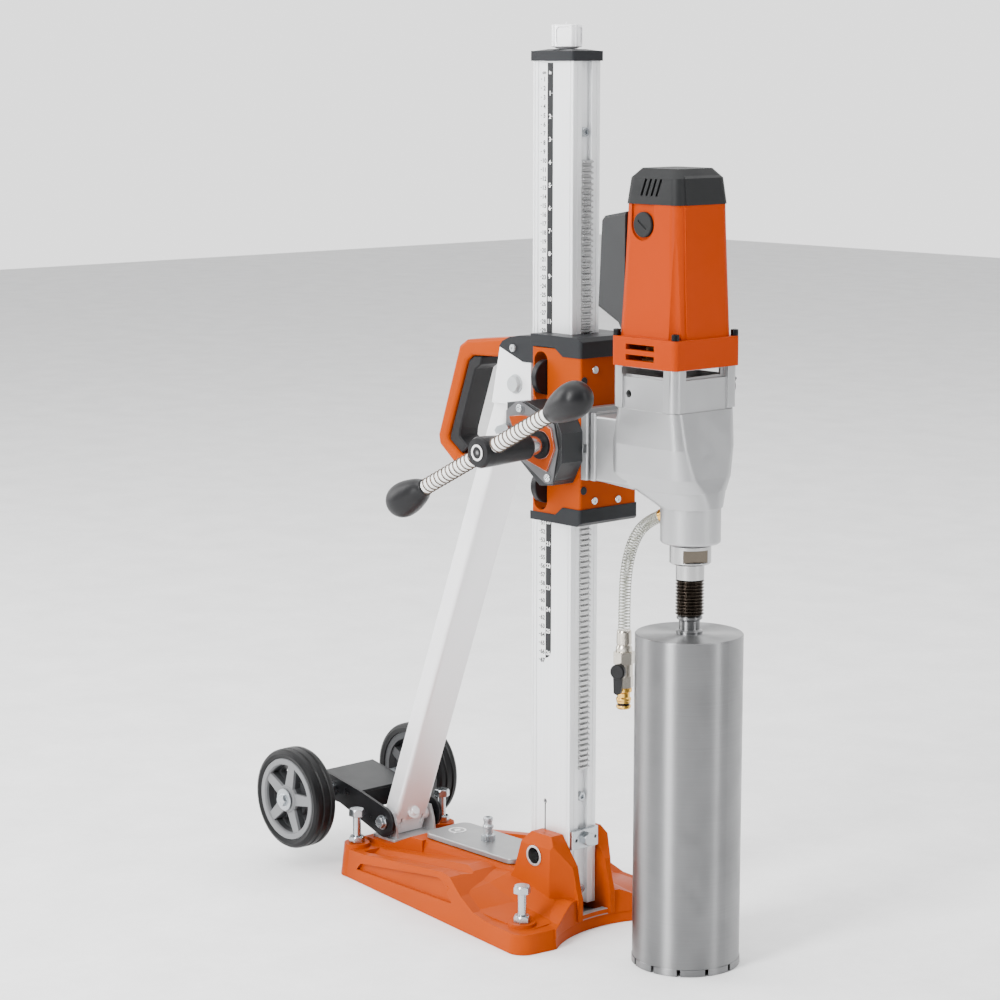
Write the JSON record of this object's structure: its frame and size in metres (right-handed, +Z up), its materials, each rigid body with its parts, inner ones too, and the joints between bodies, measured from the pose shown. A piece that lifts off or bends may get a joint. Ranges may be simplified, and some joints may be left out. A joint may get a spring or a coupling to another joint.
{
  "type": "core drill rig",
  "caption": "Diamond core drill rig: tilting column on a wheeled vacuum base, rack-fed carriage with a geared motor, water feed and a thin-walled core bit.",
  "frame": {"origin": "floor level on the centre line of the upright column", "axes": "+Z up; +X from the transport wheels towards the core bit; the feed handle is on the -Y side"},
  "size_m": [0.7001, 0.3156, 1.0319],
  "materials": {
    "orange_paint": "satin orange powder coat",
    "black_paint": "black powder coat",
    "white_paint": "white powder coat",
    "silver_paint": "silver paint",
    "anodised_aluminium": "clear anodised extrusion",
    "cast_silver": "bead-blasted casting",
    "plate_steel": "ground steel",
    "zinc_steel": "zinc plated",
    "black_steel": "blackened",
    "bright_chrome": "bright plated",
    "bit_steel": "brushed tube",
    "fitting_brass": "turned brass",
    "black_rubber": "matt black",
    "tyre_rubber": "matt black",
    "dark_plastic": "grained",
    "grey_plastic": "grained",
    "roller_nylon": "turned",
    "label_film": "printed graduations",
    "clear_hose": "clear wall with braid"
  },
  "bodies": {
    "base": {"base_casting": "orange_paint", "base_seals": "black_rubber", "vacuum_cover": "plate_steel", "vacuum_nipple": "zinc_steel", "base_fasteners": "zinc_steel", "pivot_axle": "plate_steel", "strut_foot": "zinc_steel", "wheel_bracket": "black_paint", "wheel_axle": "zinc_steel"},
    "levelling_screw_rear_left": {"levelling_screw_rear_left": "zinc_steel"},
    "levelling_screw_rear_right": {"levelling_screw_rear_right": "zinc_steel"},
    "levelling_screw_front_left": {"levelling_screw_front_left": "zinc_steel"},
    "levelling_screw_front_right": {"levelling_screw_front_right": "zinc_steel"},
    "wheel_left": {"wheel_rim_left": "grey_plastic", "wheel_tyre_left": "tyre_rubber"},
    "wheel_right": {"wheel_rim_right": "grey_plastic", "wheel_tyre_right": "tyre_rubber"},
    "column": {"column_tube": "anodised_aluminium", "feed_rack": "plate_steel", "column_fittings": "zinc_steel", "scale_label": "label_film", "column_cap": "dark_plastic"},
    "jack": {"jack_screw": "silver_paint"},
    "strut": {"strut_tube": "silver_paint", "carry_handle": "orange_paint", "carry_grip": "black_rubber"},
    "slider": {"strut_bracket": "white_paint", "strut_cap": "grey_plastic"},
    "carriage": {"carriage_housing": "orange_paint", "carriage_caps": "dark_plastic", "feed_housing": "black_paint", "feed_cover": "orange_paint", "mount_plate": "cast_silver", "gear_housing": "cast_silver", "motor_housing": "orange_paint", "motor_cap": "dark_plastic", "unit_screws": "black_steel", "switch_box": "dark_plastic", "stator": "plate_steel", "spindle_bearings": "bright_chrome", "water_hose": "clear_hose", "hose_fittings": "fitting_brass", "valve_body": "bright_chrome"},
    "roller_lower_left": {"roller_lower_left": "roller_nylon"},
    "roller_lower_right": {"roller_lower_right": "roller_nylon"},
    "roller_upper_left": {"roller_upper_left": "roller_nylon"},
    "roller_upper_right": {"roller_upper_right": "roller_nylon"},
    "feed_handle": {"pinion_shaft": "bright_chrome", "handle_bar": "plate_steel", "handle_grips": "black_rubber"},
    "reduction": {"reduction_shaft": "plate_steel"},
    "lever": {"lock_lever": "zinc_steel"},
    "drive": {"spindle": "plate_steel", "bit_adapter": "bright_chrome", "core_bit": "bit_steel"},
    "lay_shaft": {"lay_gear": "plate_steel"},
    "rotor": {"armature": "plate_steel"},
    "selector": {"gear_selector": "dark_plastic"},
    "button": {"switch_button": "black_rubber"},
    "valve": {"valve_lever": "dark_plastic"}
  },
  "joints": [
    {"name": "column_tilt", "type": "hinge", "parent": "base", "child": "column", "pos_m": [0, 0, 0.084], "axis": [0, -1, 0], "range_deg": [0, 45]},
    {"name": "strut_swing", "type": "hinge", "parent": "base", "child": "strut", "pos_m": [-0.281, 0, 0.0623], "axis": [0, -1, 0], "range_deg": [-1, 52.5]},
    {"name": "strut_slide", "type": "slide", "parent": "column", "child": "slider", "axis": [0, 0, 1], "range_m": [-0.001, 0.23]},
    {"name": "carriage_slide", "type": "slide", "parent": "column", "child": "carriage", "axis": [0, 0, 1], "range_m": [-0.35, 0.28]},
    {"name": "feed_turn", "type": "hinge", "parent": "carriage", "child": "feed_handle", "pos_m": [0.0466, -0.1, 0.5707], "axis": [0, 1, 0], "range_deg": [-1400, 1700]},
    {"name": "reduction_turn", "type": "hinge", "parent": "carriage", "child": "reduction", "pos_m": [0.01492, -0.07, 0.57994], "axis": [0, 1, 0], "range_deg": [-3000, 2400]},
    {"name": "roller_lower_left_turn", "type": "hinge", "parent": "carriage", "child": "roller_lower_left", "pos_m": [0.012, 0.0414, 0.5175], "axis": [1, 0, 0], "range_deg": [-1050, 850]},
    {"name": "roller_lower_right_turn", "type": "hinge", "parent": "carriage", "child": "roller_lower_right", "pos_m": [0.012, -0.0414, 0.5175], "axis": [1, 0, 0], "range_deg": [-850, 1050]},
    {"name": "roller_upper_left_turn", "type": "hinge", "parent": "carriage", "child": "roller_upper_left", "pos_m": [0.012, 0.0414, 0.6398], "axis": [1, 0, 0], "range_deg": [-1050, 850]},
    {"name": "roller_upper_right_turn", "type": "hinge", "parent": "carriage", "child": "roller_upper_right", "pos_m": [0.012, -0.0414, 0.6398], "axis": [1, 0, 0], "range_deg": [-850, 1050]},
    {"name": "lock_lever_turn", "type": "hinge", "parent": "carriage", "child": "lever", "pos_m": [-0.008, -0.083, 0.583], "axis": [0, 1, 0], "range_deg": [-30, 30]},
    {"name": "spindle_turn", "type": "hinge", "parent": "carriage", "child": "drive", "pos_m": [0.199, 0, 0.5], "axis": [0, 0, 1], "continuous": true},
    {"name": "lay_gear_turn", "type": "hinge", "parent": "carriage", "child": "lay_shaft", "pos_m": [0.17886, 0.02224, 0.59], "axis": [0, 0, 1], "continuous": true},
    {"name": "armature_turn", "type": "hinge", "parent": "carriage", "child": "rotor", "pos_m": [0.173, 0, 0.74], "axis": [0, 0, 1], "continuous": true},
    {"name": "gear_selector_turn", "type": "hinge", "parent": "carriage", "child": "selector", "pos_m": [0.2, 0.052, 0.64], "axis": [0, 1, 0], "range_deg": [0, 60]},
    {"name": "switch_button_press", "type": "slide", "parent": "carriage", "child": "button", "axis": [0, -1, 0], "range_m": [0, 0.0025], "stiffness_N_per_m": 900},
    {"name": "valve_lever_turn", "type": "hinge", "parent": "carriage", "child": "valve", "pos_m": [0.098, 0, 0.314], "axis": [0.3746, -0.9272, 0], "range_deg": [0, 90]},
    {"name": "jack_screw_run", "type": "slide", "parent": "column", "child": "jack", "axis": [0, 0, 1], "range_m": [0, 0.06]},
    {"name": "levelling_screw_rear_left_run", "type": "slide", "parent": "base", "child": "levelling_screw_rear_left", "axis": [0, 0, 1], "range_m": [-0.02, 0.004]},
    {"name": "levelling_screw_rear_right_run", "type": "slide", "parent": "base", "child": "levelling_screw_rear_right", "axis": [0, 0, 1], "range_m": [-0.02, 0.004]},
    {"name": "levelling_screw_front_left_run", "type": "slide", "parent": "base", "child": "levelling_screw_front_left", "axis": [0, 0, 1], "range_m": [-0.02, 0.004]},
    {"name": "levelling_screw_front_right_run", "type": "slide", "parent": "base", "child": "levelling_screw_front_right", "axis": [0, 0, 1], "range_m": [-0.02, 0.004]},
    {"name": "wheel_left_turn", "type": "hinge", "parent": "base", "child": "wheel_left", "pos_m": [-0.3786, 0.1, 0.0849], "axis": [0, 1, 0], "continuous": true},
    {"name": "wheel_right_turn", "type": "hinge", "parent": "base", "child": "wheel_right", "pos_m": [-0.3786, -0.1, 0.0849], "axis": [0, 1, 0], "continuous": true}
  ],
  "couplings": [
    {"joint": "strut_swing", "follows": "column_tilt", "ratio": 1.1478},
    {"joint": "strut_slide", "follows": "column_tilt", "m_per_rad": 0.29129},
    {"joint": "feed_turn", "follows": "carriage_slide", "rad_per_m": -83.333},
    {"joint": "reduction_turn", "follows": "carriage_slide", "rad_per_m": 145.83},
    {"joint": "roller_lower_left_turn", "follows": "carriage_slide", "rad_per_m": 50.505},
    {"joint": "roller_lower_right_turn", "follows": "carriage_slide", "rad_per_m": -50.505},
    {"joint": "roller_upper_left_turn", "follows": "carriage_slide", "rad_per_m": 50.505},
    {"joint": "roller_upper_right_turn", "follows": "carriage_slide", "rad_per_m": -50.505},
    {"joint": "lay_gear_turn", "follows": "spindle_turn", "ratio": -3},
    {"joint": "armature_turn", "follows": "spindle_turn", "ratio": 10.8}
  ]
}
